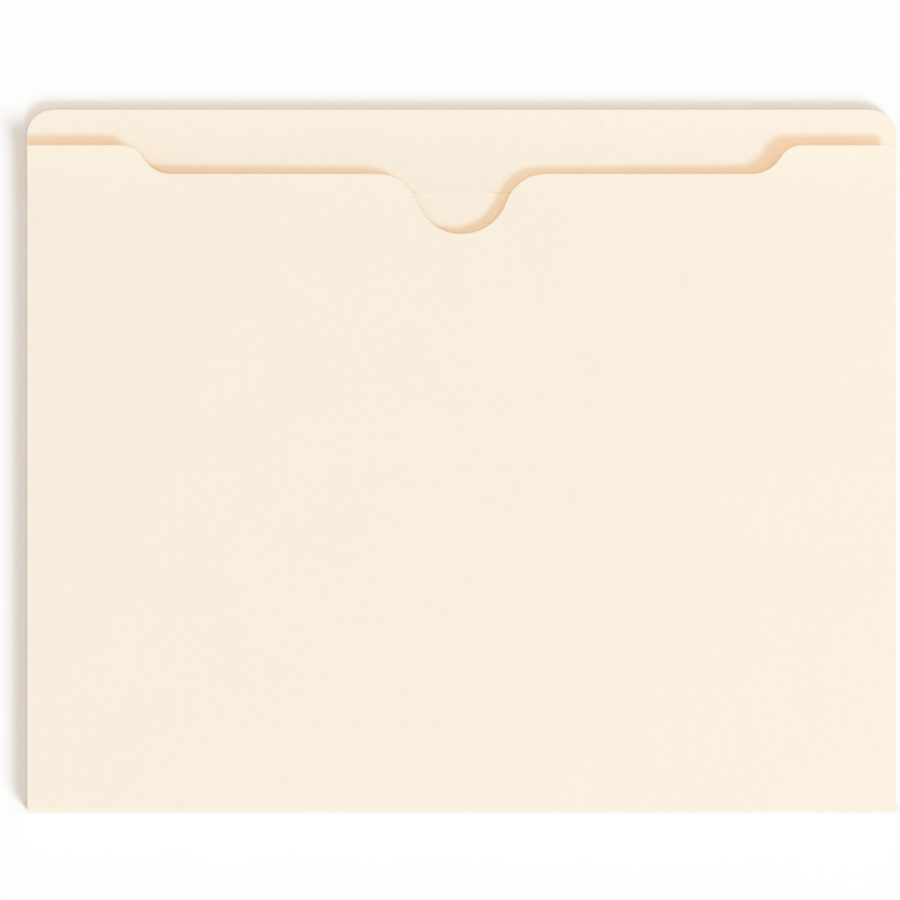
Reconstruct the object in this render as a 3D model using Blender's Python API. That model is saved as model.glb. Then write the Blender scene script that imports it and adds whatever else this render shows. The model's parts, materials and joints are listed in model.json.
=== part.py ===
"""Letter-size manila file jacket: a folded and glued card pocket with a two-ply tab.

Metres, +Z up. The jacket lies face up with its back panel on z = 0. +Y points to the tab
and +X to the right of someone who reads it. The origin is under the middle of the jacket.
The sheet is drawn as the panels between its creases, the creases and the films of glue.
"""

import math

import bmesh
import bpy
from mathutils import Matrix, Vector

# Overall size of the folded jacket
JACKET_WIDTH = 0.29845
JACKET_HEIGHT = 0.2413

# Stock, glue and the hairline left between two layers that touch
CARD = 0.00028
GLUE_FILM = 0.00008
LAYER_GAP = 0.00002

# How far the sprung folds hold the inner faces of the two panels apart
POCKET_GAP = 0.0052

# Tab: its rounded corners and the ply that is folded down inside it
TAB_CORNER_RADIUS = 0.009
TAB_PLY_HEIGHT = 0.0283
TAB_GLUE_MARGIN = 0.003

# Front panel: how far its edges lie inside the back's, and below the top of the tab
FRONT_INSET = 0.0007
SHOULDER_DROP = 0.0128
SHOULDER_LENGTH = 0.0322
SHOULDER_CORNER_RADIUS = 0.0006
LIP_DROP = 0.0225
OGEE_UPPER_RADIUS = 0.0085
OGEE_LOWER_RADIUS = 0.0114

# Thumb notch in the middle of the lip
NOTCH_DEPTH = 0.0205
NOTCH_RADIUS = 0.0162
NOTCH_FILLET = 0.0144

# Side seams: the flap that is folded in, its tapered ends and its line of glue
FLAP_WIDTH = 0.0127
FLAP_TAPER = 0.005
SEAM_START = 0.001
SEAM_RELIEF = 0.0004
SEAM_GLUE_WIDTH = 0.008
SEAM_GLUE_MARGIN = 0.009

# Facets: how far a chord may lie off its arc, and the largest turn that is shaded smooth
FACET_SAG = 0.00001
SMOOTH_ANGLE = math.radians(40)

# Colours of the card, of its bent fibres and of the dried glue: red, green, blue
CARD_COLOUR = (0.93, 0.84, 0.71)
FOLD_COLOUR = (0.95, 0.87, 0.75)
GLUE_COLOUR = (0.88, 0.82, 0.66)
CARD_ROUGHNESS = 0.78
GLUE_ROUGHNESS = 0.45

# Heights of the stacked layers
BACK_INSIDE = CARD
TAB_GLUE_LOW = BACK_INSIDE + LAYER_GAP
TAB_PLY_LOW = TAB_GLUE_LOW + GLUE_FILM + LAYER_GAP
TAB_PLY_TOP = TAB_PLY_LOW + CARD
FRONT_LOW = BACK_INSIDE + POCKET_GAP
FRONT_TOP = FRONT_LOW + CARD
SEAM_GLUE_LOW = FRONT_LOW - LAYER_GAP - GLUE_FILM
FLAP_TOP = SEAM_GLUE_LOW - LAYER_GAP
FLAP_LOW = FLAP_TOP - CARD

# Outer radii of the bends, each from the lower layer's outside to the upper layer's
TAB_FOLD_RADIUS = TAB_PLY_TOP / 2
BOTTOM_FOLD_RADIUS = FRONT_TOP / 2
SIDE_FOLD_RADIUS = FLAP_TOP / 2

# Plan: outer edges of the jacket and the lines where its flat panels end
EDGE_X = JACKET_WIDTH / 2
EDGE_Y = JACKET_HEIGHT / 2
BOTTOM_CREASE_Y = BOTTOM_FOLD_RADIUS - EDGE_Y
SIDE_CREASE_X = EDGE_X - SIDE_FOLD_RADIUS
TAB_CREASE_Y = EDGE_Y - TAB_FOLD_RADIUS
TAB_STRAIGHT_X = EDGE_X - TAB_CORNER_RADIUS
PLY_EDGE_Y = EDGE_Y - TAB_PLY_HEIGHT
SEAM_TOP_Y = PLY_EDGE_Y - SEAM_START
SEAM_BOTTOM_Y = BOTTOM_CREASE_Y + SEAM_RELIEF
FRONT_EDGE_X = EDGE_X - FRONT_INSET
SHOULDER_Y = EDGE_Y - SHOULDER_DROP
LIP_Y = EDGE_Y - LIP_DROP


def arc(centre, radius, start, end):
    """Points along an arc in a plane, its ends and its middle included; angles in radians."""
    widest = 2 * math.acos(max(0.0, 1 - FACET_SAG / radius))
    steps = 2 * math.ceil(abs(end - start) / 2 / widest)
    turns = [start + (end - start) * step / steps for step in range(steps + 1)]
    return [(centre[0] + radius * math.cos(turn), centre[1] + radius * math.sin(turn)) for turn in turns]


def ogee(start, drop, first_radius, second_radius):
    """Two tangent arcs from a level edge at start, to the left and down to a level edge drop lower."""
    turn = math.acos(1 - drop / (first_radius + second_radius))
    run = (first_radius + second_radius) * math.sin(turn)
    quarter = math.pi / 2
    first = arc((start[0], start[1] - first_radius), first_radius, quarter, quarter + turn)
    second_centre = (start[0] - run, start[1] - drop + second_radius)
    second = arc(second_centre, second_radius, turn - quarter, -quarter)
    return first + second[1:]


def mirrored(points):
    """The same outline points on the other side of the jacket's middle, in reverse order."""
    return [(-x, y) for x, y in reversed(points)]


def without_repeats(points):
    """The outline with each point that repeats the one before it left out."""
    return [point for point, before in zip(points, points[-1:] + points[:-1])
            if math.dist(point, before) > LAYER_GAP / 10]


def surface_material(name, colour, roughness):
    """A plain Principled material for one piece."""
    material = bpy.data.materials.new(name)
    material.use_nodes = True
    shader = material.node_tree.nodes["Principled BSDF"]
    shader.inputs["Base Color"].default_value = (*colour, 1.0)
    shader.inputs["Roughness"].default_value = roughness
    shader.inputs["Metallic"].default_value = 0.0
    return material


def parent_place(parent):
    """The world place of a holder, worked out up its chain of parents."""
    place = Vector((0, 0, 0))
    while parent:
        place += parent.location
        parent = parent.parent
    return place


def empty(name, location, parent=None):
    """An empty that carries the pieces of one moving group, on that group's axis."""
    holder = bpy.data.objects.new(name, None)
    holder.empty_display_size = TAB_PLY_HEIGHT
    holder.location = Vector(location) - parent_place(parent)
    holder.parent = parent
    bpy.context.scene.collection.objects.link(holder)
    return holder


def extruded(name, ring, travel, parent, colour, roughness):
    """A solid swept from a flat closed ring of world points along one straight travel."""
    mesh = bpy.data.meshes.new(name)
    shape = bmesh.new()
    face = shape.faces.new([shape.verts.new(point) for point in ring])
    swept = bmesh.ops.extrude_face_region(shape, geom=[face])
    moved = [item for item in swept["geom"] if isinstance(item, bmesh.types.BMVert)]
    bmesh.ops.translate(shape, verts=moved, vec=Vector(travel))
    bmesh.ops.recalc_face_normals(shape, faces=shape.faces)
    bmesh.ops.transform(shape, matrix=Matrix.Translation(-parent_place(parent)), verts=shape.verts)
    shape.to_mesh(mesh)
    shape.free()
    mesh.shade_smooth()
    mesh.set_sharp_from_angle(angle=SMOOTH_ANGLE)
    mesh.materials.append(surface_material(name + "_surface", colour, roughness))
    piece = bpy.data.objects.new(name, mesh)
    piece.parent = parent
    bpy.context.scene.collection.objects.link(piece)
    return piece


def sheet(name, outline, low, thickness, parent, colour=CARD_COLOUR, roughness=CARD_ROUGHNESS):
    """A flat layer with the given outline in plan, from height low upwards."""
    ring = [(x, y, low) for x, y in without_repeats(outline)]
    return extruded(name, ring, (0, 0, thickness), parent, colour, roughness)


def bend_section(radius):
    """Section of a bend that leaves a panel level, turns up and comes back level above it.

    Pairs of distance past the crease and height, from the lower end's outside round to its inside.
    """
    outside = arc((0, radius), radius, -math.pi / 2, math.pi / 2)
    inside = arc((0, radius), radius - CARD, math.pi / 2, -math.pi / 2)
    return outside + inside


def back_outline():
    """The back panel: seams' creases at its sides, relief cuts above them and the rounded tab."""
    side = SIDE_CREASE_X - LAYER_GAP
    foot = BOTTOM_CREASE_Y + LAYER_GAP
    relief = SEAM_TOP_Y + LAYER_GAP
    corner_y = TAB_CREASE_Y - LAYER_GAP - TAB_CORNER_RADIUS
    right = [(side, foot), (side, relief), (EDGE_X, relief + SIDE_FOLD_RADIUS)]
    right += arc((TAB_STRAIGHT_X, corner_y), TAB_CORNER_RADIUS, 0, math.pi / 2)
    return right + mirrored(right)


def ply_outline():
    """The tab's second ply: the width of the tab, with the same rounded corners."""
    corner_y = TAB_CREASE_Y - LAYER_GAP - TAB_CORNER_RADIUS
    right = [(EDGE_X, PLY_EDGE_Y)]
    right += arc((TAB_STRAIGHT_X, corner_y), TAB_CORNER_RADIUS, 0, math.pi / 2)
    return right + mirrored(right)


def tab_glue_outline():
    """The film between the tab's plies: their outline, held back by a margin."""
    radius = max(TAB_CORNER_RADIUS - TAB_GLUE_MARGIN, LAYER_GAP)
    side = EDGE_X - TAB_GLUE_MARGIN
    top = TAB_CREASE_Y - LAYER_GAP - TAB_GLUE_MARGIN
    right = [(side, PLY_EDGE_Y + TAB_GLUE_MARGIN)]
    right += arc((side - radius, top - radius), radius, 0, math.pi / 2)
    return right + mirrored(right)


def front_outline():
    """The front panel: square foot, shoulders, ogees down to the lip and the thumb notch."""
    foot = BOTTOM_CREASE_Y + LAYER_GAP
    corner = (FRONT_EDGE_X - SHOULDER_CORNER_RADIUS, SHOULDER_Y - SHOULDER_CORNER_RADIUS)
    shoulder_end = (FRONT_EDGE_X - SHOULDER_LENGTH, SHOULDER_Y)
    notch_turn = math.acos(1 - NOTCH_DEPTH / (NOTCH_RADIUS + NOTCH_FILLET))
    notch_half = (NOTCH_RADIUS + NOTCH_FILLET) * math.sin(notch_turn)
    right = [(FRONT_EDGE_X, foot)]
    right += arc(corner, SHOULDER_CORNER_RADIUS, 0, math.pi / 2)
    right += ogee(shoulder_end, LIP_DROP - SHOULDER_DROP, OGEE_UPPER_RADIUS, OGEE_LOWER_RADIUS)
    right += ogee((notch_half, LIP_Y), NOTCH_DEPTH, NOTCH_FILLET, NOTCH_RADIUS)
    return right + mirrored(right)


def flap_outline(side):
    """A glue flap in from the side crease, with tapered ends; side is 1 on the right, -1 on the left."""
    outer = SIDE_CREASE_X - LAYER_GAP
    inner = outer - FLAP_WIDTH
    points = [
        (outer, SEAM_BOTTOM_Y),
        (outer, SEAM_TOP_Y),
        (inner, SEAM_TOP_Y - FLAP_TAPER),
        (inner, SEAM_BOTTOM_Y + FLAP_TAPER),
    ]
    return [(side * x, y) for x, y in points]


def seam_glue_outline(side):
    """The straight line of glue along the middle of a flap."""
    middle = SIDE_CREASE_X - LAYER_GAP - FLAP_WIDTH / 2
    outer = middle + SEAM_GLUE_WIDTH / 2
    inner = middle - SEAM_GLUE_WIDTH / 2
    top = SEAM_TOP_Y - SEAM_GLUE_MARGIN
    foot = SEAM_BOTTOM_Y + SEAM_GLUE_MARGIN
    points = [(outer, foot), (outer, top), (inner, top), (inner, foot)]
    return [(side * x, y) for x, y in points]


def build_back(group):
    """The panel that the jacket lies on and the two-ply tab at its top."""
    sheet("back_panel", back_outline(), 0, CARD, group)
    sheet("tab_ply", ply_outline(), TAB_PLY_LOW, CARD, group)
    sheet("tab_glue", tab_glue_outline(), TAB_GLUE_LOW, GLUE_FILM, group, GLUE_COLOUR, GLUE_ROUGHNESS)
    half = TAB_STRAIGHT_X
    ring = [(-half, TAB_CREASE_Y + reach, height) for reach, height in bend_section(TAB_FOLD_RADIUS)]
    extruded("tab_fold", ring, (2 * half, 0, 0), group, FOLD_COLOUR, CARD_ROUGHNESS)


def build_soft_folds(group):
    """The sprung bends along the bottom and the two sides."""
    half = FRONT_EDGE_X
    ring = [(-half, BOTTOM_CREASE_Y - reach, height) for reach, height in bend_section(BOTTOM_FOLD_RADIUS)]
    extruded("bottom_fold", ring, (2 * half, 0, 0), group, FOLD_COLOUR, CARD_ROUGHNESS)
    for name, side in (("left", -1), ("right", 1)):
        ring = [(side * (SIDE_CREASE_X + reach), SEAM_BOTTOM_Y, height)
                for reach, height in bend_section(SIDE_FOLD_RADIUS)]
        travel = (0, SEAM_TOP_Y - SEAM_BOTTOM_Y, 0)
        extruded(name + "_side_fold", ring, travel, group, FOLD_COLOUR, CARD_ROUGHNESS)


def build_seams(group):
    """The flaps of the side seams and their lines of glue."""
    for name, side in (("left", -1), ("right", 1)):
        sheet(name + "_glue_flap", flap_outline(side), FLAP_LOW, CARD, group)
        sheet(name + "_seam_glue", seam_glue_outline(side), SEAM_GLUE_LOW, GLUE_FILM, group,
              GLUE_COLOUR, GLUE_ROUGHNESS)


def main():
    """Clear the scene and build the jacket, each moving group under an empty on its axis."""
    for old in list(bpy.data.objects):
        bpy.data.objects.remove(old, do_unlink=True)
    jacket = empty("jacket", (0, 0, 0))
    pocket = empty("pocket_swell", (0, 0, FLAP_LOW), jacket)
    mouth = empty("mouth_hinge", (0, BOTTOM_CREASE_Y, FRONT_LOW + CARD / 2), pocket)
    build_back(jacket)
    build_soft_folds(jacket)
    build_seams(pocket)
    sheet("front_panel", front_outline(), FRONT_LOW, CARD, mouth)


main()
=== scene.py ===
"""Looks of the letter-size manila file jacket: folded card, sprung folds, glue and a plain studio.

Metres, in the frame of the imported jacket: it lies face up on z = 0 with its tab at +Y.
Every layer is modelled as a thin sheet, and each point of a sheet keeps its place on the
flat, unfolded blank, so that the grain of the card runs on across the folds.
"""

import json
import logging
import math
from collections import Counter
from collections.abc import Sequence
from dataclasses import dataclass
from enum import Enum
from typing import Any, TypeAlias

import bmesh
import bpy
import numpy as np
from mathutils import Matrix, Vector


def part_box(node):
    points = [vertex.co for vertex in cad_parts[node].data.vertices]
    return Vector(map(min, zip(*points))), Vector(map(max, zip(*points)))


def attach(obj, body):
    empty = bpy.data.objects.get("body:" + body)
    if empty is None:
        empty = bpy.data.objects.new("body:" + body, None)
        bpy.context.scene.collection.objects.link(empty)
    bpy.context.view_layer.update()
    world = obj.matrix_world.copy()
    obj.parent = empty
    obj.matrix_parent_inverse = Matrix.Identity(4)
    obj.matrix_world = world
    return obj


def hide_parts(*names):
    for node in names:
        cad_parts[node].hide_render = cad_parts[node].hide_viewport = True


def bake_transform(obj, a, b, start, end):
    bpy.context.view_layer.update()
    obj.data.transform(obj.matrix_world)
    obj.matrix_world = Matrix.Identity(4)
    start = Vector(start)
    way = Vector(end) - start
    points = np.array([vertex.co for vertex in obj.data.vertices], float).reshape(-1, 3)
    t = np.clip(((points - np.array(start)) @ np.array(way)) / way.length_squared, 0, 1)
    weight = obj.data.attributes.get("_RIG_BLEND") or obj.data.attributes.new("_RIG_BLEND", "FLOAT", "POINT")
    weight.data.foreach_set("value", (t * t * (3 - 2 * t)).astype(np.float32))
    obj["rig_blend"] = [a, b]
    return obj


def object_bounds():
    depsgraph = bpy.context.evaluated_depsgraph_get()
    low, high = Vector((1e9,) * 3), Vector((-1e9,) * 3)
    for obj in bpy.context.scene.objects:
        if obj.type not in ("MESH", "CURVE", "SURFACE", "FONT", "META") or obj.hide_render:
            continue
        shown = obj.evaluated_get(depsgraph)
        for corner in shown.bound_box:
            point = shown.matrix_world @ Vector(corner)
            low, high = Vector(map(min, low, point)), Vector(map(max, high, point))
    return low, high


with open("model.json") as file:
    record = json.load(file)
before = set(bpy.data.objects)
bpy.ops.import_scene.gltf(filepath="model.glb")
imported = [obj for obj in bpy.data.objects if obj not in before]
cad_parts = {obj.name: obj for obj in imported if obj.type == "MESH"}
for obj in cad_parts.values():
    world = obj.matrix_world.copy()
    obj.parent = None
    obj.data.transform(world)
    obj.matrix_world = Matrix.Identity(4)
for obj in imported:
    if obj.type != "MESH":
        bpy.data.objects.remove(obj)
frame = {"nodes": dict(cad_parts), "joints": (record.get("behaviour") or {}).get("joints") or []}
CAD_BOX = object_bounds()

LOG = logging.getLogger("file_jacket")
BLANK_MAP = "blank"
BLEND_WEIGHTS = "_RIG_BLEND"
WELD_DIGITS = 7
WELD_REACH = 10.0 ** -WELD_DIGITS
SHARP_ANGLE = math.radians(40)
EDGE_FINISH = 1
NOISE_MEAN = 0.5
WHITE = (1.0, 1.0, 1.0, 1.0)

Array = np.ndarray
Colour = tuple[float, float, float]
Span = tuple[float, float]
Direction = tuple[float, float, float]
Pieces = Sequence[bpy.types.Object]
Operand: TypeAlias = "Socket | float"
Paint: TypeAlias = "Socket | Colour"


class Body(Enum):
    """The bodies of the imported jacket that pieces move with."""

    BACK = "back"
    SEAMS = "seams"
    FRONT = "front"


class Slot(Enum):
    """The record's material slots."""

    CARD = "manila_card"
    FOLD = "card_fold"
    GLUE = "dried_glue"


class Side(Enum):
    """The two closed sides of the jacket, with the sign of their x."""

    LEFT = -1.0
    RIGHT = 1.0

    @property
    def label(self) -> str:
        """The side's name as it stands in the names of nodes and pieces."""
        return self.name.lower()


class BlankAxis(Enum):
    """A direction on the unfolded blank, as the component of its map."""

    ACROSS = 0
    ALONG = 1


class LightLink(Enum):
    """What a lamp's light or shadow does with a group of pieces."""

    KEEPS_TO = "INCLUDE"
    LEAVES_OUT = "EXCLUDE"


@dataclass(frozen=True)
class Socket:
    """A shader output that takes part in Python arithmetic on values."""

    bench: "NodeBench"
    link: bpy.types.NodeSocket | None

    def _math(self, operation: str, first: Operand, second: Operand = 0.0) -> "Socket":
        """Result of one Math node on sockets or numbers."""
        return self.bench.node("ShaderNodeMath", {"operation": operation}, {0: first, 1: second})

    def __add__(self, other: Operand) -> "Socket":
        """Sum of two values."""
        return self._math("ADD", self, other)

    __radd__ = __add__

    def __sub__(self, other: Operand) -> "Socket":
        """Difference of two values."""
        return self._math("SUBTRACT", self, other)

    def __rsub__(self, other: Operand) -> "Socket":
        """Difference with a number on the left."""
        return self._math("SUBTRACT", other, self)

    def __mul__(self, other: Operand) -> "Socket":
        """Product of two values."""
        return self._math("MULTIPLY", self, other)

    __rmul__ = __mul__

    def __abs__(self) -> "Socket":
        """Size of a value without its sign."""
        return self._math("ABSOLUTE", self)


class NodeBench:
    """Fills one node tree, through a single method for every kind of node."""

    def __init__(self, owner: bpy.types.ID) -> None:
        """Clear the owner's node tree.

        Args:
            owner: The material or world whose nodes are made.
        """
        owner.use_nodes = True
        self.tree = owner.node_tree
        self.tree.nodes.clear()

    def node(self, kind: str, settings: dict[str, Any] | None = None,
             inputs: dict[str | int, Any] | None = None, output: str | int = 0) -> Socket:
        """Add a node, set it up and feed its sockets.

        Args:
            kind: The node's type.
            settings: The node's own properties, which are set first.
            inputs: Values or sockets, by the name or number of the input.
            output: Name or number of the output that is handed on.

        Returns:
            The chosen output.
        """
        made = self.tree.nodes.new(kind)
        for name, value in (settings or {}).items():
            setattr(made, name, value)
        for name, value in (inputs or {}).items():
            if isinstance(value, Socket):
                self.tree.links.new(value.link, made.inputs[name])
            else:
                made.inputs[name].default_value = value
        return Socket(self, made.outputs[output] if made.outputs else None)

    def noise(self, place: Socket, width: float, length: float, detail: float = 2.0) -> Socket:
        """Add a noise with a grain size of its own in each direction of the blank.

        Args:
            place: Place on the blank, in metres.
            width: Size of the grain across the blank.
            length: Size of the grain along the blank.
            detail: Octaves of finer noise.

        Returns:
            The noise, about NOISE_MEAN on average.
        """
        scaled = self.node("ShaderNodeVectorMath", {"operation": "MULTIPLY"},
                           {0: place, 1: (1.0 / width, 1.0 / length, 1.0)})
        return self.node("ShaderNodeTexNoise", {"noise_dimensions": "2D"},
                         {"Vector": scaled, "Scale": 1.0, "Detail": detail})

    def ease(self, value: Socket, start: float, end: float) -> Socket:
        """Ease a value from 0 at start to 1 at end; start may be the larger."""
        return self.node("ShaderNodeMapRange", {"interpolation_type": "SMOOTHSTEP"},
                         {"Value": value, "From Min": start, "From Max": end})

    def tint(self, share: Socket, first: Paint, second: Paint) -> Socket:
        """Mix two colours.

        Args:
            share: Share of the second colour.
            first: First colour, a socket or a red, green and blue.
            second: Second colour.

        Returns:
            The mixed colour.
        """
        inputs = {0: share}
        for number, colour in ((6, first), (7, second)):
            inputs[number] = colour if isinstance(colour, Socket) else (*colour, 1.0)
        return self.node("ShaderNodeMix", {"data_type": "RGBA"}, inputs, 2)

    def component(self, place: Socket, axis: BlankAxis) -> Socket:
        """One component of a place on the blank."""
        return self.node("ShaderNodeSeparateXYZ", None, {0: place}, axis.value)

    def bump(self, height: Socket, depth: float, strength: float) -> Socket:
        """The normal of a surface whose relief follows a height."""
        return self.node("ShaderNodeBump", None, {"Strength": strength, "Distance": depth, "Height": height})


def shade(colour: Colour, share: float) -> Colour:
    """A colour made lighter or darker by a share of itself."""
    return tuple(channel * share for channel in colour)


def tones(colour: Colour, spread: float) -> tuple[Colour, Colour]:
    """A colour's darkest and lightest tone."""
    return shade(colour, 1.0 - spread), shade(colour, 1.0 + spread)


@dataclass(frozen=True)
class Crease:
    """A fold line on the blank, rubbed pale along its ridge.

    Attributes:
        axis: Direction in which its place is measured.
        place: Distance from the blank's origin; across the blank it counts on both sides.
        reach: How far the rubbing spreads from the ridge.
    """

    axis: BlankAxis
    place: float
    reach: float


@dataclass(frozen=True)
class Finish:
    """The look of one material."""

    name: str

    def paint(self, bench: NodeBench) -> dict[str, Any]:
        """The shader's values and sockets, by the names of its inputs."""
        raise NotImplementedError

    def material(self) -> bpy.types.Material:
        """Make the material with one Principled shader.

        Returns:
            The material.
        """
        made = bpy.data.materials.new(self.name)
        bench = NodeBench(made)
        shader = bench.node("ShaderNodeBsdfPrincipled", None, self.paint(bench))
        bench.node("ShaderNodeOutputMaterial", None, {"Surface": shader})
        return made


@dataclass(frozen=True)
class CardFinish(Finish):
    """Uncoated manila card: cloudy formation, short fibres, a few flecks and pale, rubbed creases.

    Sizes are in metres on the blank, and a fleck's reach is a share of its cell. The weights say what each
    noise adds to the tone. A span holds the values between which flecks or rubbed patches come in.
    """

    creases: tuple[Crease, ...] = ()
    colour: Colour = (0.915, 0.832, 0.708)
    spread: float = 0.03
    cloud_size: float = 0.032
    formation_size: float = 0.0035
    fibre_width: float = 0.00022
    fibre_length: float = 0.0014
    crossed_share: float = 0.35
    cloud_weight: float = 0.35
    formation_weight: float = 0.75
    fibre_weight: float = 0.9
    fleck_cell: float = 0.011
    fleck_reach: float = 0.022
    fleck_chance: Span = (0.60, 0.75)
    fleck_colour: Colour = (0.56, 0.43, 0.29)
    fleck_share: float = 0.35
    worn_colour: Colour = (0.945, 0.885, 0.790)
    worn_share: float = 0.25
    worn_patches: Span = (0.25, 0.70)
    roughness: float = 0.76
    roughness_swing: float = 0.16
    specular: float = 0.3
    bump_depth: float = 0.00002
    bump_strength: float = 0.6
    bump_fibres: float = 0.6

    def flecks(self, bench: NodeBench, place: Socket) -> Socket:
        """Place dark flecks of bark in some of the cells of a loose pattern.

        Args:
            bench: The material's nodes.
            place: Place on the blank.

        Returns:
            1 in a fleck and 0 elsewhere.
        """
        settings = {"voronoi_dimensions": "2D"}
        inputs = {"Vector": place, "Scale": 1.0 / self.fleck_cell}
        distance = bench.node("ShaderNodeTexVoronoi", settings, inputs, "Distance")
        chance = bench.node("ShaderNodeTexVoronoi", settings, inputs, "Color")
        chosen = bench.node("ShaderNodeSeparateColor", None, {0: chance})
        return bench.ease(distance, self.fleck_reach, 0.0) * bench.ease(chosen, *self.fleck_chance)

    def wear(self, bench: NodeBench, place: Socket, patchy: Socket) -> Socket:
        """Rub the creases pale, more in some places than in others.

        Args:
            bench: The material's nodes.
            place: Place on the blank.
            patchy: Noise that breaks the rubbing up.

        Returns:
            Share of rubbed fibres.
        """
        rubbed = []
        for crease in self.creases:
            distance = abs(abs(bench.component(place, crease.axis)) - crease.place)
            rubbed.append(bench.ease(distance, crease.reach, 0.0))
        return sum(rubbed, 0.0) * bench.ease(patchy, *self.worn_patches)

    def paint(self, bench: NodeBench) -> dict[str, Any]:
        """Mix the card's colour, roughness and relief.

        Args:
            bench: The material's nodes.

        Returns:
            The shader's values and sockets.
        """
        place = bench.node("ShaderNodeUVMap", {"uv_map": BLANK_MAP})
        cloud = bench.noise(place, self.cloud_size, self.cloud_size)
        formation = bench.noise(place, self.formation_size, self.formation_size, detail=3.0)
        fibre = bench.noise(place, self.fibre_width, self.fibre_length)
        crossed = bench.noise(place, self.fibre_length, self.fibre_width)
        fibres = (1.0 - self.crossed_share) * fibre + self.crossed_share * crossed
        tone = self.cloud_weight * cloud + self.formation_weight * formation + self.fibre_weight * fibres
        excess = NOISE_MEAN * (self.cloud_weight + self.formation_weight + self.fibre_weight - 1.0)
        base = bench.tint(tone - excess, *tones(self.colour, self.spread))
        base = bench.tint(self.fleck_share * self.flecks(bench, place), base, self.fleck_colour)
        if self.creases:
            worn = self.wear(bench, place, formation)
            base = bench.tint(self.worn_share * worn, base, self.worn_colour)
        height = self.bump_fibres * fibres + (1.0 - self.bump_fibres) * formation
        return {
            "Base Color": base,
            "Roughness": self.roughness + self.roughness_swing * (formation - NOISE_MEAN),
            "Normal": bench.bump(height, self.bump_depth, self.bump_strength),
            "Specular IOR Level": self.specular,
        }


@dataclass(frozen=True)
class CutEdgeAndShadeFinish(CardFinish):
    """The card's cut edges: darker than its faces, with open fibres. The darker colour is partly the edges'
    own tone and partly painted shade for the shadow line along the ply's lower edge.
    """

    name: str = "cut_card_and_painted_shade"
    # Partly the cut edges' own darker tone, partly painted shade standing in for the shadow line under the
    # ply's lower edge.
    colour: Colour = (0.87, 0.765, 0.625)
    bump_depth: float = 0.00005


@dataclass(frozen=True)
class GlueFinish(Finish):
    """Dried glue: a pale amber film with cloudy thin places and a dull gloss."""

    name: str = "dried_glue"
    thick_colour: Colour = (0.80, 0.68, 0.46)
    thin_colour: Colour = (0.90, 0.83, 0.68)
    cloud_size: float = 0.004
    cloud_stretch: float = 2.0
    thin_places: Span = (0.3, 0.7)
    roughness: float = 0.38
    roughness_swing: float = 0.3
    bump_depth: float = 0.00003
    bump_strength: float = 0.5

    def paint(self, bench: NodeBench) -> dict[str, Any]:
        """Mix the film's colour, roughness and relief.

        Args:
            bench: The material's nodes.

        Returns:
            The shader's values and sockets.
        """
        place = bench.node("ShaderNodeUVMap", {"uv_map": BLANK_MAP})
        cloud = bench.noise(place, self.cloud_size, self.cloud_stretch * self.cloud_size, detail=4.0)
        thin = bench.ease(cloud, *self.thin_places)
        return {
            "Base Color": bench.tint(thin, self.thick_colour, self.thin_colour),
            "Roughness": self.roughness + self.roughness_swing * cloud,
            "Normal": bench.bump(cloud, self.bump_depth, self.bump_strength),
        }


@dataclass(frozen=True)
class FloorFinish(Finish):
    """A matt white studio sheet with hardly any grain, which gives back less light than it shows."""

    name: str = "studio_floor"
    colour: Colour = (0.975, 0.975, 0.975)
    spread: float = 0.005
    given_back: float = 0.75
    grain_size: float = 0.03
    roughness: float = 0.9

    def paint(self, bench: NodeBench) -> dict[str, Any]:
        """Mix the sheet's colour.

        Args:
            bench: The material's nodes.

        Returns:
            The shader's values and sockets.
        """
        place = bench.node("ShaderNodeTexCoord", None, None, "Object")
        grain = bench.noise(place, self.grain_size, self.grain_size)
        shown = bench.tint(grain, *tones(self.colour, self.spread))
        seen = bench.node("ShaderNodeLightPath", None, None, "Is Camera Ray")
        return {
            "Base Color": bench.tint(seen, shade(self.colour, self.given_back), shown),
            "Roughness": self.roughness,
            "Specular IOR Level": 0.0,
        }


@dataclass(frozen=True)
class Wardrobe:
    """The finishes that the pieces wear."""

    card: bpy.types.Material
    fold: bpy.types.Material
    # Finish of the cut edges, whose darker colour is partly painted shade.
    cut: bpy.types.Material
    glue: bpy.types.Material


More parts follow.
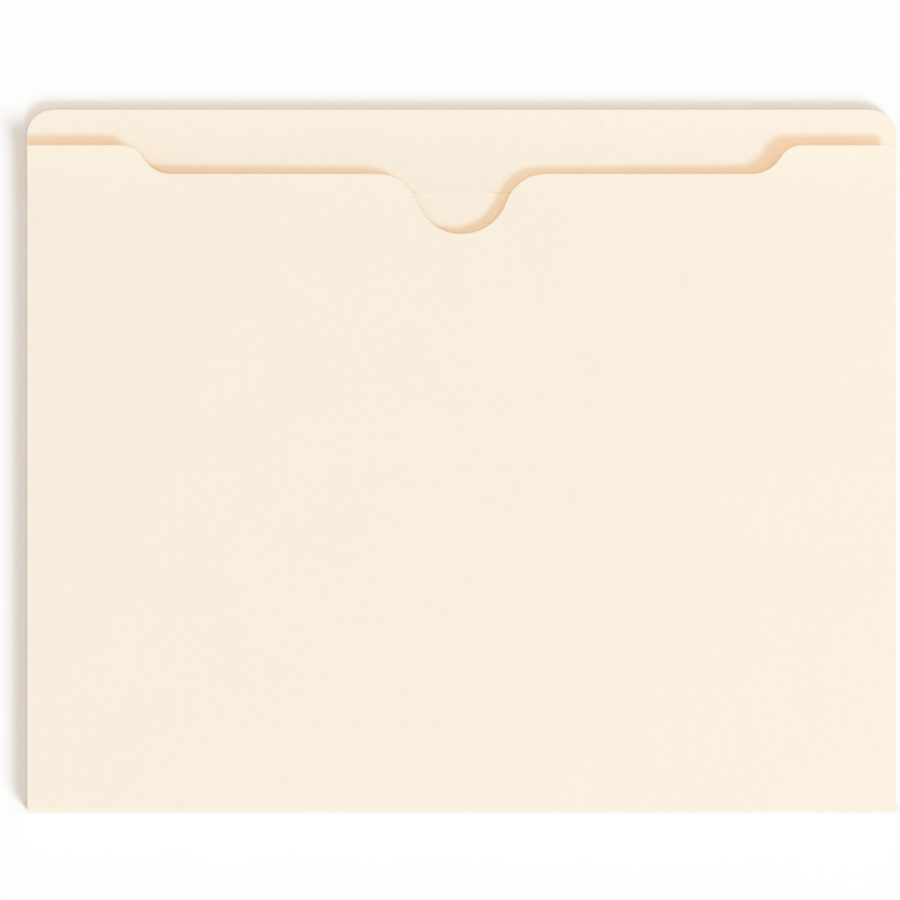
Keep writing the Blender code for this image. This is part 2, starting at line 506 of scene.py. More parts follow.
@dataclass(frozen=True)
class JacketPlan:
    """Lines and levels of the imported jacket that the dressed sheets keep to.

    Attributes:
        card: Thickness of the card.
        edge_x, edge_y: Outer edges of the jacket.
        side_crease_x: Where the back's flat part ends at the sides.
        front_edge_x: Cut edges of the front panel.
        tab_straight_x: Where the tab's top edge starts to round off.
        tab_crease_y, ply_edge_y: Upper and lower edge of the tab's second ply.
        seam_top_y, seam_foot_y: Ends of the side folds.
        bottom_crease_y: Where the panels' flat parts end at the bottom.
        ply_low, ply_top: Levels of the tab's second ply.
        flap_edge_x: Free edges of the glue flaps.
        flap_top: Level of the glue flaps' upper faces.
        front_low, front_top: Levels of the front panel.
        press_travel: How far the front goes down when the jacket is pressed flat.
    """

    card: float
    edge_x: float
    edge_y: float
    side_crease_x: float
    front_edge_x: float
    tab_straight_x: float
    tab_crease_y: float
    ply_edge_y: float
    seam_top_y: float
    seam_foot_y: float
    bottom_crease_y: float
    ply_low: float
    ply_top: float
    flap_edge_x: float
    flap_top: float
    front_low: float
    front_top: float
    press_travel: float

    @classmethod
    def from_frame(cls) -> "JacketPlan":
        """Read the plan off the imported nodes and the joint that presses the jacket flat.

        Returns:
            The plan.
        """
        back_low, back_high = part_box("back_panel")
        front_low, front_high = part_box("front_panel")
        bend_low, bend_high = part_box("bottom_fold")
        side_low, side_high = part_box("right_side_fold")
        tab_low, tab_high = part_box("tab_fold")
        ply_low, ply_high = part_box("tab_ply")
        flap_low, flap_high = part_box("right_glue_flap")
        swell = next(joint for joint in frame["joints"] if joint["name"] == "pocket_swell")
        return cls(
            card=back_high.z - back_low.z,
            edge_x=back_high.x,
            edge_y=tab_high.y,
            side_crease_x=side_low.x,
            front_edge_x=front_high.x,
            tab_straight_x=tab_high.x,
            tab_crease_y=tab_low.y,
            ply_edge_y=ply_low.y,
            seam_top_y=side_high.y,
            seam_foot_y=side_low.y,
            bottom_crease_y=bend_high.y,
            ply_low=ply_low.z,
            ply_top=ply_high.z,
            flap_edge_x=flap_low.x,
            flap_top=flap_high.z,
            front_low=front_low.z,
            front_top=front_high.z,
            press_travel=-swell["range_m"][0],
        )

    @property
    def bottom_radius(self) -> float:
        """Outer radius of the bottom fold."""
        return self.front_top / 2

    @property
    def side_radius(self) -> float:
        """Outer radius of the side folds."""
        return self.flap_top / 2

    @property
    def tab_radius(self) -> float:
        """Outer radius of the fold over the tab."""
        return self.ply_top / 2

    def bend_length(self, radius: float) -> float:
        """Length of card in a half-round bend, along the middle of the card."""
        return math.pi * (radius - self.card / 2)

    @property
    def tab_length(self) -> float:
        """Place of the tab's crease along the blank."""
        return self.tab_crease_y - self.bottom_crease_y

    def creases(self) -> tuple[Crease, ...]:
        """Find the ridges of the folds on the blank.

        Returns:
            The creases of the bottom, the tab and the sides.
        """
        bottom, tab, side = (self.bend_length(radius) / 2
                             for radius in (self.bottom_radius, self.tab_radius, self.side_radius))
        return (
            Crease(BlankAxis.ALONG, bottom, bottom / 2),
            Crease(BlankAxis.ALONG, self.tab_length + tab, tab),
            Crease(BlankAxis.ACROSS, self.side_crease_x + side, side / 2),
        )


def progress(value: Array, start: float, end: float) -> Array:
    """Share of the way from start to end, kept between 0 and 1."""
    return np.clip((value - start) / (end - start), 0.0, 1.0)


def bell(x: Array, half: float) -> Array:
    """A bell across a panel: 1 in the middle, and 0 from the half width on."""
    return np.cos(progress(np.abs(x), 0.0, half) * math.pi / 2) ** 2


@dataclass(frozen=True)
class BackWarp:
    """How the back leaves the table: it arches under the mouth, and the tab curls up to its top edge.

    Attributes:
        curl_foot: Where the curl begins, at the lower edge of the tab's second ply.
        top: Top edge of the tab.
        arch_half: Half the width of the arch.
        curl_height: How far the top edge stands up.
        curl_power: How late the curl sets in: 1 is straight, and more is later.
        arch_height: How far the panel stands up in the middle.
        arch_foot: Where the arch begins.
    """

    curl_foot: float
    top: float
    arch_half: float
    curl_height: float = 0.0022
    curl_power: float = 2.5
    arch_height: float = 0.002
    arch_foot: float = 0.01

    def rise(self, x: Array, y: Array) -> Array:
        """Height above the table.

        Args:
            x: Places across the panel.
            y: Places along it.

        Returns:
            How far the panel stands up at each place.
        """
        curl = progress(y, self.curl_foot, self.top)
        climb = progress(y, self.arch_foot, self.curl_foot)
        arch = bell(x, self.arch_half) * climb ** 2 * (3.0 - 2.0 * climb) * (1.0 - curl)
        return self.curl_height * curl ** self.curl_power + self.arch_height * arch


def infilled(stops: Array, spacing: float) -> Array:
    """Add evenly spaced stops wherever two neighbours lie further apart than the spacing.

    Args:
        stops: Rising values.
        spacing: Widest step that may stay.

    Returns:
        The rising values with the added ones.
    """
    spans = []
    for low, high in zip(stops[:-1], stops[1:]):
        steps = max(1, math.ceil((high - low) / spacing))
        spans.append(np.linspace(low, high, steps, endpoint=False))
    return np.concatenate([*spans, stops[-1:]])


def spread_rows(foot: Array | float, top: Array | float, rows: int) -> Array:
    """Spread rows evenly between the lower and the upper edge of a panel, as y by row and column."""
    return foot + (top - foot) * np.linspace(0.0, 1.0, rows)[:, None]


def ripple(along: Array, waves: Span, start: float = 0.0) -> Array:
    """Uneven waves between -1 and 1 along an edge, a product of two frequencies."""
    return np.sin(along * waves[0] + start) * np.sin(along * waves[1])


def points(x: Array, y: Array, z: Array | float) -> Array:
    """Stack coordinates into points, by row and column."""
    return np.stack(np.broadcast_arrays(x, y, z), axis=-1)


class SheetMesh:
    """Grid patches of one thin sheet, welded where they meet and closed into a solid."""

    def __init__(self) -> None:
        """Start with no patches."""
        self._marks: dict[tuple[float, ...], int] = {}
        self._inside: list[Array] = []
        self._outside: list[Array] = []
        self._blank: list[Array] = []
        self._quads: list[tuple[int, ...]] = []

    def _mark(self, inside: Array, outside: Array, blank: Array) -> int:
        """Number of the sheet's point at a place, which is added if it is new.

        Args:
            inside: The point on the sheet's inner face.
            outside: The point across the card from it.
            blank: Its place on the blank.

        Returns:
            The point's number.
        """
        key = tuple(np.round(inside, WELD_DIGITS) + 0.0)
        if key not in self._marks:
            self._marks[key] = len(self._inside)
            self._inside.append(inside)
            self._outside.append(outside)
            self._blank.append(blank)
        return self._marks[key]

    def patch(self, inside: Array, outside: Array, across: Array, along: Array) -> None:
        """Add one grid.

        Args:
            inside: Points of the inner face, by row and column.
            outside: The points across the card from them.
            across: Their places across the blank.
            along: Their places along the blank.
        """
        rows, columns = inside.shape[:2]
        blank = np.stack(np.broadcast_arrays(across, along), axis=-1)
        marks = [[self._mark(inside[row, column], outside[row, column], blank[row, column])
                  for column in range(columns)] for row in range(rows)]
        for lower, upper in zip(marks[:-1], marks[1:]):
            for left in range(columns - 1):
                self._quads.append((lower[left], lower[left + 1], upper[left + 1], upper[left]))

    def solid(self, name: str, face: bpy.types.Material, edge: bpy.types.Material) -> bpy.types.Object:
        """Close the sheet along its cut edges.

        Args:
            name: The piece's name.
            face: Finish of the two faces.
            edge: Finish of the cut edges.

        Returns:
            The piece, in the scene.
        """
        count = len(self._inside)
        sides = [side for quad in self._quads for side in zip(quad, quad[1:] + quad[:1])]
        uses = Counter(frozenset(side) for side in sides)
        rims = [(end, start, start + count, end + count) for start, end in sides
                if uses[frozenset((start, end))] == 1]
        across = [tuple(corner + count for corner in reversed(quad)) for quad in self._quads]
        mesh = bpy.data.meshes.new(name)
        mesh.from_pydata(self._inside + self._outside, [], self._quads + across + rims)
        mesh.materials.append(face)
        mesh.materials.append(edge)
        for polygon in mesh.polygons[-len(rims):]:
            polygon.material_index = EDGE_FINISH
        layer = mesh.uv_layers.new(name=BLANK_MAP)
        corners = np.array([loop.vertex_index for loop in mesh.loops])
        layer.data.foreach_set("uv", np.array(self._blank)[corners % count].astype(np.float32).ravel())
        shape = bmesh.new()
        shape.from_mesh(mesh)
        bmesh.ops.recalc_face_normals(shape, faces=shape.faces)
        shape.to_mesh(mesh)
        shape.free()
        mesh.shade_smooth()
        mesh.set_sharp_from_angle(angle=SHARP_ANGLE)
        piece = bpy.data.objects.new(name, mesh)
        bpy.context.scene.collection.objects.link(piece)
        return piece


def places(piece: bpy.types.Object) -> Array:
    """Read a piece's points.

    Args:
        piece: The piece.

    Returns:
        Rows of x, y and z.
    """
    flat = np.zeros(len(piece.data.vertices) * 3, np.float32)
    piece.data.vertices.foreach_get("co", flat)
    return flat.reshape(-1, 3).astype(float)


def give(piece: bpy.types.Object, first: Body, second: Body, weights: Array) -> None:
    """Let a piece of card give between two bodies, by weights of its own.

    The call here names the two bodies, and the ramp that it stores on the mesh is then written over. Its
    start and end, the corners of the piece's box, therefore don't say how the piece moves.

    Args:
        piece: The piece.
        first: The body that a point of weight 0 follows.
        second: The body that a point of weight 1 follows.
        weights: Weight of each point.
    """
    low, high = places(piece).min(0), places(piece).max(0)
    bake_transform(piece, first.value, second.value, start=tuple(low), end=tuple(high))
    piece.data.attributes[BLEND_WEIGHTS].data.foreach_set("value", weights.astype(np.float32))


@dataclass
class SubAssembly:
    """Pieces of the jacket that are built together.

    Attributes:
        plan: The jacket's lines and levels.
        finishes: What the pieces wear.
    """

    plan: JacketPlan
    finishes: Wardrobe


@dataclass
class FrontPanel(SubAssembly):
    """The face of the jacket: die-cut shoulders, lip and thumb notch, sprung a little open at the mouth.

    Attributes:
        fold_strip: Width of the strip above the crease that belongs to the bottom fold.
        flare: How far the shoulders stand up above the ends of the side seams.
        spacing: Widest step between columns.
        rows: Number of rows.
    """

    fold_strip: float = 0.0015
    flare: float = 0.0015
    spacing: float = 0.006
    rows: int = 48

    def upper_edge(self) -> tuple[Array, Array]:
        """Find the die-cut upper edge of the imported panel.

        Returns:
            Its x and y, from left to right.
        """
        outline = np.array([corner.co[:2] for corner in frame["nodes"]["front_panel"].data.vertices])
        middle = (outline[:, 1].min() + outline[:, 1].max()) / 2
        edge = np.unique(outline[outline[:, 1] > middle].round(WELD_DIGITS), axis=0)
        return edge[:, 0], edge[:, 1]

    def lift(self, y: Array) -> Array:
        """Height of the flared mouth above the flat panel."""
        _, edge_y = self.upper_edge()
        return self.flare * progress(y, self.plan.seam_top_y, edge_y.max()) ** 2

    def bow(self, spots: Array) -> Array:
        """How far each point follows the lip: not at all at the glued seams, and fully in the middle."""
        return bell(spots[:, 0], self.plan.flap_edge_x)

    def build(self) -> bpy.types.Object:
        """Make the panel.

        Returns:
            The dressed panel.
        """
        plan = self.plan
        edge_x, edge_y = self.upper_edge()
        columns = infilled(edge_x, self.spacing)
        foot = plan.bottom_crease_y + self.fold_strip
        y = spread_rows(foot, np.interp(columns, edge_x, edge_y), self.rows)
        rise = self.lift(y)
        along = -plan.bend_length(plan.bottom_radius) - (y - plan.bottom_crease_y)
        faces = [points(columns, y, level + rise) for level in (plan.front_low, plan.front_top)]
        sheet = SheetMesh()
        sheet.patch(*faces, columns, along)
        piece = sheet.solid("front_sheet", self.finishes.card, self.finishes.cut)
        give(piece, Body.SEAMS, Body.FRONT, self.bow(places(piece)))
        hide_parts("front_panel")
        return piece


@dataclass
class BackPanel(SubAssembly):
    """The panel on the table: creases at its sides, relief cuts above them and the rounded tab.

    Attributes:
        warp: How it leaves the table.
        spacing: Widest step between columns.
        corner_steps: Steps round each corner of the tab.
        rows: Number of rows in the pocket.
        tab_rows: Number of rows in the tab.
    """

    warp: BackWarp
    spacing: float = 0.008
    corner_steps: int = 14
    rows: int = 30
    tab_rows: int = 18

    def tab_edge(self) -> tuple[Array, Array]:
        """Round the tab's top edge off at its corners.

        Returns:
            The edge's x and y, from left to right.
        """
        plan = self.plan
        radius = plan.edge_x - plan.tab_straight_x
        turn = np.linspace(0.0, math.pi / 2, self.corner_steps + 1)
        x = plan.tab_straight_x + radius * np.sin(turn)
        y = plan.tab_crease_y - radius * (1.0 - np.cos(turn))
        return np.concatenate([-x[::-1], x]), np.concatenate([y[::-1], y])

    def tab_columns(self) -> Array:
        """Spread columns over the full width of the tab.

        Returns:
            Their x, with one on each side crease.
        """
        edge_x, _ = self.tab_edge()
        crease = self.plan.side_crease_x
        stops = np.unique(np.concatenate([edge_x, [-crease, crease]]).round(WELD_DIGITS))
        return infilled(stops, self.spacing)

    def flatten(self, piece: bpy.types.Object) -> None:
        """Let a piece go flat as the jacket is pressed.

        Args:
            piece: A piece that follows the panel's warp.
        """
        spots = places(piece)
        rise = self.warp.rise(spots[:, 0], spots[:, 1])
        give(piece, Body.BACK, Body.SEAMS, rise / self.plan.press_travel)

    def build(self) -> bpy.types.Object:
        """Make the panel.

        Returns:
            The dressed panel.
        """
        plan = self.plan
        wide = self.tab_columns()
        narrow = wide[np.abs(wide) <= plan.side_crease_x + WELD_REACH]
        relief = plan.seam_top_y + np.clip(np.abs(wide) - plan.side_crease_x, 0.0, None)
        sheet = SheetMesh()
        for x, y in (
            (narrow, spread_rows(plan.bottom_crease_y, plan.seam_top_y, self.rows)),
            (wide, spread_rows(relief, np.interp(wide, *self.tab_edge()), self.tab_rows)),
        ):
            rise = self.warp.rise(x, y)
            sheet.patch(points(x, y, plan.card + rise), points(x, y, rise), x, y - plan.bottom_crease_y)
        piece = sheet.solid("back_sheet", self.finishes.card, self.finishes.cut)
        self.flatten(piece)
        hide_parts("back_panel")
        return piece


@dataclass
class TabPly(SubAssembly):
    """The second ply of the tab, folded over the top edge and down on the inside of the back.

    Attributes:
        back: The panel whose tab it lies on.
        edge_slope: How far the pressed lower edge slopes.
        bend_steps: Steps round the fold.
        rows: Number of rows.
        film_columns, film_rows: Number of columns and rows in the film of glue.
        wander: How far the film's edges wander.
        waves: The two frequencies of that, in radians for each metre.
        corner_inset: How far the film's ends draw in from the tab's corners, as a share of x.
    """

    back: BackPanel
    edge_slope: float = 0.0002
    bend_steps: int = 16
    rows: int = 16
    film_columns: int = 60
    film_rows: int = 8
    wander: float = 0.0008
    waves: Span = (310.0, 97.0)
    corner_inset: float = 0.02

    def build(self) -> bpy.types.Object:
        """Make the fold and the ply in one sheet.

        Returns:
            The dressed ply.
        """
        plan = self.plan
        warp = self.back.warp
        wide = self.back.tab_columns()
        straight = wide[np.abs(wide) <= plan.tab_straight_x + WELD_REACH]
        sheet = SheetMesh()
        turn = np.linspace(0.0, math.pi, self.bend_steps + 1)[:, None]
        faces = []
        for radius in (plan.tab_radius - plan.card, plan.tab_radius):
            y = plan.tab_crease_y + radius * np.sin(turn)
            z = plan.tab_radius - radius * np.cos(turn) + warp.rise(straight, y)
            faces.append(points(straight, y, z))
        middle = plan.tab_radius - plan.card / 2
        sheet.patch(*faces, straight, plan.tab_length + middle * turn)
        y = spread_rows(np.interp(wide, *self.back.tab_edge()), plan.ply_edge_y, self.rows)
        rise = warp.rise(wide, y)
        along = plan.tab_length + plan.bend_length(plan.tab_radius) + plan.tab_crease_y - y
        # The sloped lower edge shows the darker cut finish, which paints a shade line along the ply's edge.
        lower_y = y.copy()
        lower_y[-1] -= self.edge_slope
        faces = [points(wide, lower_y, plan.ply_low + rise), points(wide, y, plan.ply_top + rise)]
        sheet.patch(*faces, wide, along)
        piece = sheet.solid("tab_ply_sheet", self.finishes.fold, self.finishes.cut)
        self.back.flatten(piece)
        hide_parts("tab_ply", "tab_fold")
        return piece

    def build_film(self) -> bpy.types.Object:
        """Make the film of glue between the two plies.

        Returns:
            The dressed film.
        """
        low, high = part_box("tab_glue")
        columns = np.linspace(low.x, high.x, self.film_columns)
        wander = np.abs(self.wander * ripple(columns, self.waves))
        y = spread_rows(low.y + wander, high.y - wander, self.film_rows)
        inset = self.corner_inset * progress(np.abs(columns), self.plan.tab_straight_x, high.x)
        x = columns * (1.0 - inset)
        rise = self.back.warp.rise(x, y)
        sheet = SheetMesh()
        sheet.patch(points(x, y, low.z + rise), points(x, y, high.z + rise), x, y)
        piece = sheet.solid("tab_glue_film", self.finishes.glue, self.finishes.glue)
        self.back.flatten(piece)
        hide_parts("tab_glue")
        return piece


@dataclass
class SoftFolds(SubAssembly):
    """The sprung bends along the bottom and the two sides, which close up when the jacket is pressed.

    Attributes:
        fold_strip: Width of the level strip that runs from the bottom bend into the front panel.
        bottom_squareness: How square the bottom bend is: 2 is half round, and more is squarer.
        side_squareness: How square the side bends are.
        side_tuck: How far the side bends stay within the jacket's edges.
        steps: Steps round a bend.
        strip_rows: Number of rows in the level strip.
        spacing: Widest step along a bend.
    """

    fold_strip: float
    bottom_squareness: float = 5.0
    side_squareness: float = 2.0
    side_tuck: float = 0.0003
    steps: int = 32
    strip_rows: int = 3
    spacing: float = 0.006

    def section(self, squareness: float) -> tuple[Array, Array, Array]:
        """Section of a bend of radius 1, from the back up to the front.

        Args:
            squareness: How square it is.

        Returns:
            How far each point lies past the crease, how far below the bend's middle, and its share
            of the length round the bend, each as a column.
        """
        turn = np.linspace(0.0, math.pi, self.steps + 1)[:, None]
        reach = np.sin(turn) ** (2.0 / squareness)
        depth = np.sign(np.cos(turn)) * np.abs(np.cos(turn)) ** (2.0 / squareness)
        pace = np.hypot(np.diff(reach, axis=0), np.diff(depth, axis=0))
        length = np.concatenate([[[0.0]], pace]).cumsum()
        return reach, depth, (length / length[-1])[:, None]

    def close_up(self, piece: bpy.types.Object, radius: float) -> None:
        """Let a bend close up between the back and the seams.

        Args:
            piece: The bend, with the points of its inner face first.
            radius: Outer radius of the bend.
        """
        height = radius - places(piece)[:, 2]
        radii = np.repeat([radius - self.plan.card, radius], len(height) // 2)
        give(piece, Body.BACK, Body.SEAMS, (1.0 - np.clip(height / radii, -1.0, 1.0)) / 2)

    def build_bottom(self) -> bpy.types.Object:
        """Make the bend along the bottom, with the strip that runs into the front panel.

        Returns:
            The dressed bend.
        """
        plan = self.plan
        half = plan.front_edge_x
        columns = infilled(np.array([-half, half]), self.spacing)
        reach, depth, share = self.section(self.bottom_squareness)
        faces = []
        for radius in (plan.bottom_radius - plan.card, plan.bottom_radius):
            y = plan.bottom_crease_y - radius * reach
            faces.append(points(columns, y, plan.bottom_radius - radius * depth))
        sheet = SheetMesh()
        sheet.patch(*faces, columns, -plan.bend_length(plan.bottom_radius) * share)
        y = spread_rows(plan.bottom_crease_y, plan.bottom_crease_y + self.fold_strip, self.strip_rows)
        along = -plan.bend_length(plan.bottom_radius) - (y - plan.bottom_crease_y)
        sheet.patch(points(columns, y, plan.front_low), points(columns, y, plan.front_top), columns, along)
        piece = sheet.solid("bottom_bend", self.finishes.fold, self.finishes.cut)
        self.close_up(piece, plan.bottom_radius)
        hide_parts("bottom_fold")
        return piece

    def build_side(self, side: Side) -> bpy.types.Object:
        """Make the bend along one side.

        Args:
            side: Which side.

        Returns:
            The dressed bend.
        """
        plan = self.plan
        y = infilled(np.array([plan.seam_foot_y, plan.seam_top_y]), self.spacing)
        reach, depth, share = self.section(self.side_squareness)
        faces = []
        for radius in (plan.side_radius - plan.card, plan.side_radius):
            x = side.value * (plan.side_crease_x + (radius - self.side_tuck) * reach)
            faces.append(points(x, y, plan.side_radius - radius * depth))
        across = side.value * (plan.side_crease_x + plan.bend_length(plan.side_radius) * share)
        sheet = SheetMesh()
        sheet.patch(*faces, across, y - plan.bottom_crease_y)
        piece = sheet.solid(f"{side.label}_side_bend", self.finishes.fold, self.finishes.cut)
        self.close_up(piece, plan.side_radius)
        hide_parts(f"{side.label}_side_fold")
        return piece


@dataclass
class SideSeam(SubAssembly):
    """A flap folded in from the back's side and the line of glue that holds the front to it.

    Attributes:
        side: Which side.
        taper: How much shorter the flap's free edge is at each end.
        flap_columns, flap_spacing: Number of columns in the flap, and widest step along it.
        glue_columns, glue_spacing: The same for the line of glue.
        wander: How far the glue's edges wander.
        waves: The two frequencies of that, in radians for each metre.
    """

    side: Side
    taper: float = 0.005
    flap_columns: int = 6
    flap_spacing: float = 0.005
    glue_columns: int = 7
    glue_spacing: float = 0.002
    wander: float = 0.0006
    waves: Span = (730.0, 211.0)

    def build_flap(self) -> bpy.types.Object:
        """Make the flap.

        Returns:
            The dressed flap.
        """
        plan = self.plan
        low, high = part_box(f"{self.side.label}_glue_flap")
        columns = np.linspace(low.x, high.x, self.flap_columns)
        outer = max(abs(low.x), abs(high.x))
        inset = self.taper * (outer - np.abs(columns)) / (high.x - low.x)
        rows = math.ceil((high.y - low.y) / self.flap_spacing)
        y = spread_rows(low.y + inset, high.y - inset, rows)
        bend = plan.bend_length(plan.side_radius)
        across = self.side.value * (plan.side_crease_x + bend + outer - np.abs(columns))
        faces = [points(columns, y, level) for level in (high.z, low.z)]
        sheet = SheetMesh()
        sheet.patch(*faces, across, y - plan.bottom_crease_y)
        piece = sheet.solid(f"{self.side.label}_flap_sheet", self.finishes.card, self.finishes.cut)
        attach(piece, Body.SEAMS.value)
        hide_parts(f"{self.side.label}_glue_flap")
        return piece

    def build_glue(self) -> bpy.types.Object:
        """Make the line of glue, with edges that wander as a roller leaves them.

        Returns:
            The dressed film.
        """
        low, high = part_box(f"{self.side.label}_seam_glue")
        columns = np.linspace(low.x, high.x, self.glue_columns)
        y = spread_rows(low.y, high.y, math.ceil((high.y - low.y) / self.glue_spacing))
        share = (columns - (low.x + high.x) / 2) / (high.x - low.x)
        x = columns - self.wander * share * (1.0 + ripple(y, self.waves, self.side.value))
        sheet = SheetMesh()
        sheet.patch(points(x, y, low.z), points(x, y, high.z), x, y)
        piece = sheet.solid(f"{self.side.label}_seam_film", self.finishes.glue, self.finishes.glue)
        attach(piece, Body.SEAMS.value)
        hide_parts(f"{self.side.label}_seam_glue")
        return piece


def light_group(name: str, pieces: Pieces, state: LightLink) -> bpy.types.Collection:
    """Gather pieces for a lamp.

    Args:
        name: The group's name.
        pieces: The pieces.
        state: Whether the lamp's light or shadow keeps to them or leaves them out.

    Returns:
        The group.
    """
    group = bpy.data.collections.new(name)
    for number, piece in enumerate(pieces):
        group.objects.link(piece)
        group.collection_objects[number].light_linking.link_state = state.value
    return group


@dataclass(frozen=True)
class SoftLamp:
    """A round lamp that is aimed at the jacket.

    Attributes:
        direction: Direction from the jacket to the lamp.
        size: Width of the lamp.
        distance: Distance of the lamp.
    """

    direction: Direction
    size: float
    distance: float

    def hang(self, name: str, light: Array, lit: Pieces, passed: Pieces = ()) -> None:
        """Hang the lamp.

        Args:
            name: The lamp's name.
            light: What it makes a level white surface give back.
            lit: The pieces that it lights.
            passed: The pieces that its light goes through.
        """
        direction = np.array(self.direction) / np.linalg.norm(self.direction)
        data = bpy.data.lights.new(name, "AREA")
        data.shape = "DISK"
        data.size = self.size
        data.color = light / light.max()
        data.energy = light.max() * (math.pi * self.distance) ** 2 / direction[2]
        lamp = bpy.data.objects.new(name, data)
        lamp.location = direction * self.distance
        lamp.rotation_euler = lamp.location.to_track_quat("Z", "Y").to_euler()
        bpy.context.scene.collection.objects.link(lamp)
        linking = lamp.light_linking
        linking.receiver_collection = light_group(f"{name}_lights", lit, LightLink.KEEPS_TO)
        if passed:
            linking.blocker_collection = light_group(f"{name}_passes", passed, LightLink.LEAVES_OUT)


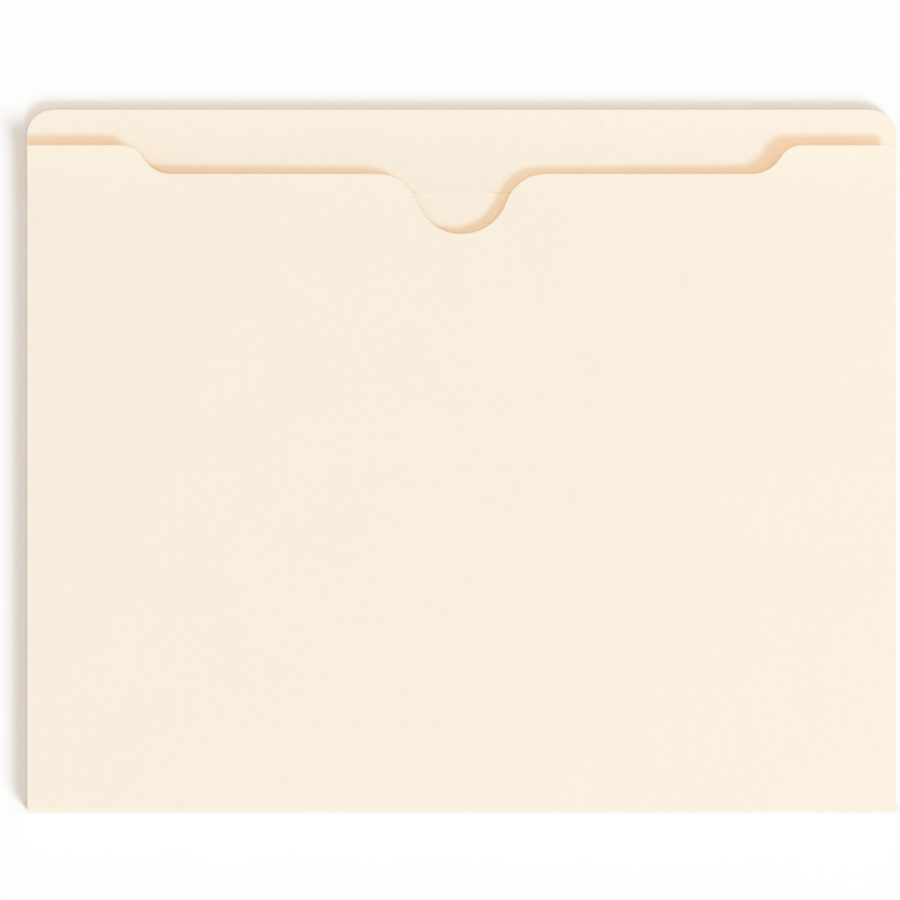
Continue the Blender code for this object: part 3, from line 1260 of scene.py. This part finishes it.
@dataclass
class Studio:
    """A white floor, cool soft lamps from the lower right, warm fill from above and all round, and a camera.

    The lamps and the fill add up to white on a level surface, so the lamps' shadows are warm.

    Attributes:
        picture, picture_centre: Width of the picture, and where the jacket's middle lies in it, in pixels.
        picture_scale: Pixels for each metre at the level of the jacket's edges.
        edge_level, camera_height: That level, and how far above it the camera is.
        film: Width of the camera's film, in millimetres.
        light_level: What a level white surface gives back under all the light.
        lamp_share: The lamps' share of that, in red, green and blue.
        front_seep: Share of the lamps' light that seeps through the front panel to the tab.
        tab_seep: Share that seeps through the tab to the floor.
        jacket_lamp, floor_lamp: The jacket's lamp, and the floor's, far off so that its light is even.
        dome_share: Share of the fill that comes from all round and not from above.
        overhead_spread: Angle over which the light from above is spread.
        floor_half, floor_steps: Half the width of the floor, and its number of steps each way.
        floor_gap: How far the floor lies below the jacket.
    """

    picture: int = 900
    picture_scale: float = 2915.0
    picture_centre: Span = (461.6, 461.0)
    edge_level: float = 0.002
    camera_height: float = 1.2
    film: float = 36.0
    light_level: float = 1.03
    lamp_share: Colour = (0.29, 0.35, 0.41)
    front_seep: Colour = (0.72, 0.36, 0.14)
    tab_seep: Colour = (0.38, 0.26, 0.19)
    jacket_lamp: SoftLamp = SoftLamp((0.97, -0.68, 1.0), 1.95, 7.0)
    floor_lamp: SoftLamp = SoftLamp((1.10, -1.32, 1.0), 16.0, 40.0)
    dome_share: float = 0.75
    overhead_spread: float = math.radians(40)
    floor_half: float = 6.0
    floor_steps: int = 12
    floor_gap: float = 0.00002

    @property
    def lamp_light(self) -> Array:
        """What a lamp alone makes a level white surface give back."""
        return self.light_level * np.array(self.lamp_share)

    @property
    def fill_light(self) -> Array:
        """What the fill alone makes a level white surface give back."""
        return self.light_level * (1.0 - np.array(self.lamp_share))

    def build_camera(self) -> None:
        """Look straight down on the jacket, framed as in the photograph."""
        data = bpy.data.cameras.new("camera")
        data.sensor_width = self.film
        data.lens = self.film * self.camera_height * self.picture_scale / self.picture
        camera = bpy.data.objects.new("camera", data)
        middle = self.picture / 2
        camera.location = (
            (middle - self.picture_centre[0]) / self.picture_scale,
            (self.picture_centre[1] - middle) / self.picture_scale,
            self.edge_level + self.camera_height,
        )
        bpy.context.scene.collection.objects.link(camera)
        bpy.context.scene.camera = camera

    def build_lamps(self, floor: bpy.types.Object, jacket: Pieces, front: Pieces, tab: Pieces) -> None:
        """Hang the soft lamps, each with the light that seeps through card set apart.

        Args:
            floor: The floor.
            jacket: All the jacket's pieces.
            front: The card that light seeps through to the tab.
            tab: The card and glue that light seeps through to the floor.
        """
        for name, lamp, share, lit, passed in (
            ("jacket", self.jacket_lamp, self.front_seep, jacket, front),
            ("floor", self.floor_lamp, self.tab_seep, (floor,), tab),
        ):
            seep = self.lamp_light * share
            lamp.hang(f"{name}_lamp", self.lamp_light - seep, lit)
            lamp.hang(f"{name}_seep", seep, lit, passed)

    def build_overhead(self) -> None:
        """Add the broad light from straight above."""
        light = (1.0 - self.dome_share) * self.fill_light
        data = bpy.data.lights.new("overhead", "SUN")
        data.angle = self.overhead_spread
        data.color = light / light.max()
        data.energy = math.pi * light.max()
        bpy.context.scene.collection.objects.link(bpy.data.objects.new("overhead", data))

    def build_dome(self) -> None:
        """Light the jacket evenly from all round, with white behind it."""
        world = bpy.data.worlds.new("studio")
        bpy.context.scene.world = world
        bench = NodeBench(world)
        rays = [bench.node("ShaderNodeLightPath", None, None, name)
                for name in ("Is Camera Ray", "Is Glossy Ray", "Is Transmission Ray")]
        fill = self.dome_share * self.fill_light
        light = bench.node("ShaderNodeBackground", None, {"Color": (*fill, 1.0), "Strength": 1.0})
        white = bench.node("ShaderNodeBackground", None, {"Color": WHITE, "Strength": 1.0})
        seen = rays[0] + rays[1] + rays[2]
        mixed = bench.node("ShaderNodeMixShader", None, {0: seen, 1: light, 2: white})
        bench.node("ShaderNodeOutputWorld", None, {"Surface": mixed})

    def build_floor(self) -> bpy.types.Object:
        """Lay the floor.

        Returns:
            The floor, which is no part of the jacket.
        """
        shape = bmesh.new()
        steps = self.floor_steps
        bmesh.ops.create_grid(shape, x_segments=steps, y_segments=steps, size=self.floor_half)
        mesh = bpy.data.meshes.new("floor")
        shape.to_mesh(mesh)
        shape.free()
        mesh.materials.append(FloorFinish().material())
        floor = bpy.data.objects.new("floor", mesh)
        floor.location.z = CAD_BOX[0].z - self.floor_gap
        bpy.context.scene.collection.objects.link(floor)
        return floor


def main() -> None:
    """Build the studio and the jacket's pieces in order, and report each one."""
    logging.basicConfig(level=logging.INFO, format="%(name)s: %(message)s")
    bpy.context.scene.view_settings.view_transform = "Standard"
    studio = Studio()
    studio.build_camera()
    studio.build_overhead()
    studio.build_dome()
    floor = studio.build_floor()
    plan = JacketPlan.from_frame()
    finishes = Wardrobe(
        card=CardFinish("manila_card").material(),
        fold=CardFinish("folded_card", plan.creases()).material(),
        cut=CutEdgeAndShadeFinish().material(),
        glue=GlueFinish().material(),
    )
    front = FrontPanel(plan, finishes)
    back = BackPanel(plan, finishes, BackWarp(plan.ply_edge_y, plan.edge_y, plan.flap_edge_x))
    ply = TabPly(plan, finishes, back)
    folds = SoftFolds(plan, finishes, front.fold_strip)
    face = [front.build()]
    tab = [back.build(), ply.build(), ply.build_film()]
    pieces = [*face, *tab, folds.build_bottom()]
    for side in Side:
        seam = SideSeam(plan, finishes, side)
        pieces += [folds.build_side(side), seam.build_flap(), seam.build_glue()]
    studio.build_lamps(floor, pieces, face, tab)
    for piece in pieces:
        LOG.info("%s: %d points, %d faces", piece.name, len(piece.data.vertices), len(piece.data.polygons))


if __name__ == "__main__":
    main()
